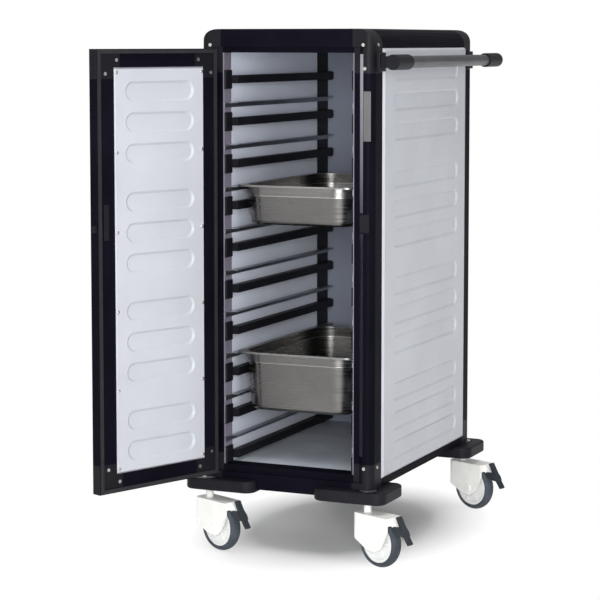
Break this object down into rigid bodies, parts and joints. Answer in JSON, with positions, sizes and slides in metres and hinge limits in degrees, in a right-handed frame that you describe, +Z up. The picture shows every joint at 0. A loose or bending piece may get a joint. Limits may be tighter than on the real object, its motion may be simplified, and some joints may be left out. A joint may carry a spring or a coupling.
{
  "type": "enclosed meal tray cart",
  "caption": "Insulated cabinet on swivel casters with a side-hinged door, runner rack for gastronorm containers, push bar and two stainless containers.",
  "frame": {"origin": "on the floor, under the middle of the whole cart as it stands with its door open", "axes": "+Z up; the door side faces -Y; the push bar is on the +X side"},
  "size_m": [0.6962, 1.151, 1.305],
  "materials": {
    "frame_black": "black anodised, satin",
    "cap_grey": "moulded, fine texture",
    "panel_grey": "pale grey, smooth",
    "door_skin": "pale grey, smooth",
    "roof_black": "satin black",
    "liner": "pale grey, smooth",
    "foam": "rigid foam",
    "strip_metal": "satin",
    "rack_black": "satin black",
    "ledge_metal": "satin",
    "stainless": "polished stainless",
    "seal": "matt",
    "hinge_black": "black",
    "latch_black": "black",
    "zinc": "bright",
    "bar_grey": "dark grey",
    "moulded_black": "black, fine texture",
    "chassis_black": "black",
    "fork_white": "off-white",
    "hub_grey": "pale grey",
    "tyre": "grey rubber",
    "pedal_grey": "dark"
  },
  "bodies": {
    "door": {"door_stiles": "frame_black", "door_rails": "frame_black", "door_corner_caps": "cap_grey", "door_screws": "zinc", "door_inner_skin": "panel_grey", "door_outer_skin": "door_skin", "door_core": "foam", "door_gasket": "seal", "door_hinge_leaves": "hinge_black", "latch_plates": "latch_black"},
    "latch_lever": {"latch_lever": "latch_black"},
    "latch_bolt": {"latch_bolt": "zinc"},
    "pan_upper": {"pan_upper": "stainless"},
    "pan_lower": {"pan_lower": "stainless"},
    "fork_front_right": {"caster_fork_front_right": "fork_white"},
    "wheel_front_right": {"caster_hub_front_right": "hub_grey", "caster_tyre_front_right": "tyre"},
    "pedal_front_right": {"caster_pedal_front_right": "pedal_grey"},
    "fork_front_left": {"caster_fork_front_left": "fork_white"},
    "wheel_front_left": {"caster_hub_front_left": "hub_grey", "caster_tyre_front_left": "tyre"},
    "pedal_front_left": {"caster_pedal_front_left": "pedal_grey"},
    "fork_rear_right": {"caster_fork_rear_right": "fork_white"},
    "wheel_rear_right": {"caster_hub_rear_right": "hub_grey", "caster_tyre_rear_right": "tyre"},
    "pedal_rear_right": {"caster_pedal_rear_right": "pedal_grey"},
    "fork_rear_left": {"caster_fork_rear_left": "fork_white"},
    "wheel_rear_left": {"caster_hub_rear_left": "hub_grey", "caster_tyre_rear_left": "tyre"},
    "pedal_rear_left": {"caster_pedal_rear_left": "pedal_grey"},
    "cabinet": {"front_post_right": "frame_black", "front_post_left": "frame_black", "rear_post_right": "frame_black", "rear_post_left": "frame_black", "corner_caps": "cap_grey", "side_rails": "frame_black", "top_rails": "frame_black", "bottom_rails": "frame_black", "frame_screws": "zinc", "side_panel_right": "panel_grey", "side_panel_left": "panel_grey", "back_panel": "panel_grey", "top_panel": "roof_black", "liner_shell": "liner", "floor_pan": "liner", "base_panel": "chassis_black", "insulation_boards": "foam", "chassis_channels": "chassis_black", "bumpers": "moulded_black", "push_bar": "bar_grey", "push_bar_brackets": "moulded_black", "latch_keeper": "hinge_black", "rack_uprights_front": "strip_metal", "rack_uprights_rear": "rack_black", "runner_rails_right": "rack_black", "runner_rails_left": "rack_black", "rack_ledges_right": "ledge_metal", "rack_ledges_left": "ledge_metal", "hinge_brackets": "hinge_black", "caster_stems": "zinc"}
  },
  "joints": [
    {"name": "door_hinge", "type": "hinge", "parent": "cabinet", "child": "door", "pos_m": [-0.20093, -0.1995, 0.73], "axis": [0, 0, -1], "range_deg": [-112, 68]},
    {"name": "latch_turn", "type": "hinge", "parent": "door", "child": "latch_lever", "pos_m": [-0.3278, -0.5322, 0.836], "axis": [-0.9272, 0.3746, 0], "range_deg": [0, 45]},
    {"name": "latch_bolt_slide", "type": "slide", "parent": "door", "child": "latch_bolt", "axis": [0.3746, 0.9272, 0], "range_m": [0, 0.009]},
    {"name": "pan_upper_slide", "type": "slide", "parent": "cabinet", "child": "pan_upper", "axis": [0, -1, 0], "range_m": [-0.07, 0.45]},
    {"name": "pan_lower_slide", "type": "slide", "parent": "cabinet", "child": "pan_lower", "axis": [0, -1, 0], "range_m": [-0.07, 0.45]},
    {"name": "swivel_front_right", "type": "hinge", "parent": "cabinet", "child": "fork_front_right", "pos_m": [0.20807, -0.1645, 0.129], "axis": [0, 0, 1], "continuous": true},
    {"name": "wheel_spin_front_right", "type": "hinge", "parent": "fork_front_right", "child": "wheel_front_right", "pos_m": [0.24915, -0.18288, 0.0625], "axis": [0.4083, 0.9128, 0], "continuous": true},
    {"name": "brake_front_right", "type": "hinge", "parent": "fork_front_right", "child": "pedal_front_right", "pos_m": [0.303, -0.20697, 0.104], "axis": [0.4083, 0.9128, 0], "range_deg": [0, 12]},
    {"name": "swivel_front_left", "type": "hinge", "parent": "cabinet", "child": "fork_front_left", "pos_m": [-0.22193, -0.1645, 0.129], "axis": [0, 0, 1], "continuous": true},
    {"name": "wheel_spin_front_left", "type": "hinge", "parent": "fork_front_left", "child": "wheel_front_left", "pos_m": [-0.18085, -0.18288, 0.0625], "axis": [0.4083, 0.9128, 0], "continuous": true},
    {"name": "brake_front_left", "type": "hinge", "parent": "fork_front_left", "child": "pedal_front_left", "pos_m": [-0.127, -0.20697, 0.104], "axis": [0.4083, 0.9128, 0], "range_deg": [0, 12]},
    {"name": "swivel_rear_right", "type": "hinge", "parent": "cabinet", "child": "fork_rear_right", "pos_m": [0.20807, 0.5355, 0.129], "axis": [0, 0, 1], "continuous": true},
    {"name": "wheel_spin_rear_right", "type": "hinge", "parent": "fork_rear_right", "child": "wheel_rear_right", "pos_m": [0.24915, 0.51712, 0.0625], "axis": [0.4083, 0.9128, 0], "continuous": true},
    {"name": "brake_rear_right", "type": "hinge", "parent": "fork_rear_right", "child": "pedal_rear_right", "pos_m": [0.303, 0.49303, 0.104], "axis": [0.4083, 0.9128, 0], "range_deg": [0, 12]},
    {"name": "swivel_rear_left", "type": "hinge", "parent": "cabinet", "child": "fork_rear_left", "pos_m": [-0.22193, 0.5355, 0.129], "axis": [0, 0, 1], "continuous": true},
    {"name": "wheel_spin_rear_left", "type": "hinge", "parent": "fork_rear_left", "child": "wheel_rear_left", "pos_m": [-0.18085, 0.51712, 0.0625], "axis": [0.4083, 0.9128, 0], "continuous": true},
    {"name": "brake_rear_left", "type": "hinge", "parent": "fork_rear_left", "child": "pedal_rear_left", "pos_m": [-0.127, 0.49303, 0.104], "axis": [0.4083, 0.9128, 0], "range_deg": [0, 12]}
  ],
  "couplings": [
    {"joint": "latch_bolt_slide", "follows": "latch_turn", "m_per_rad": 0.011458}
  ]
}
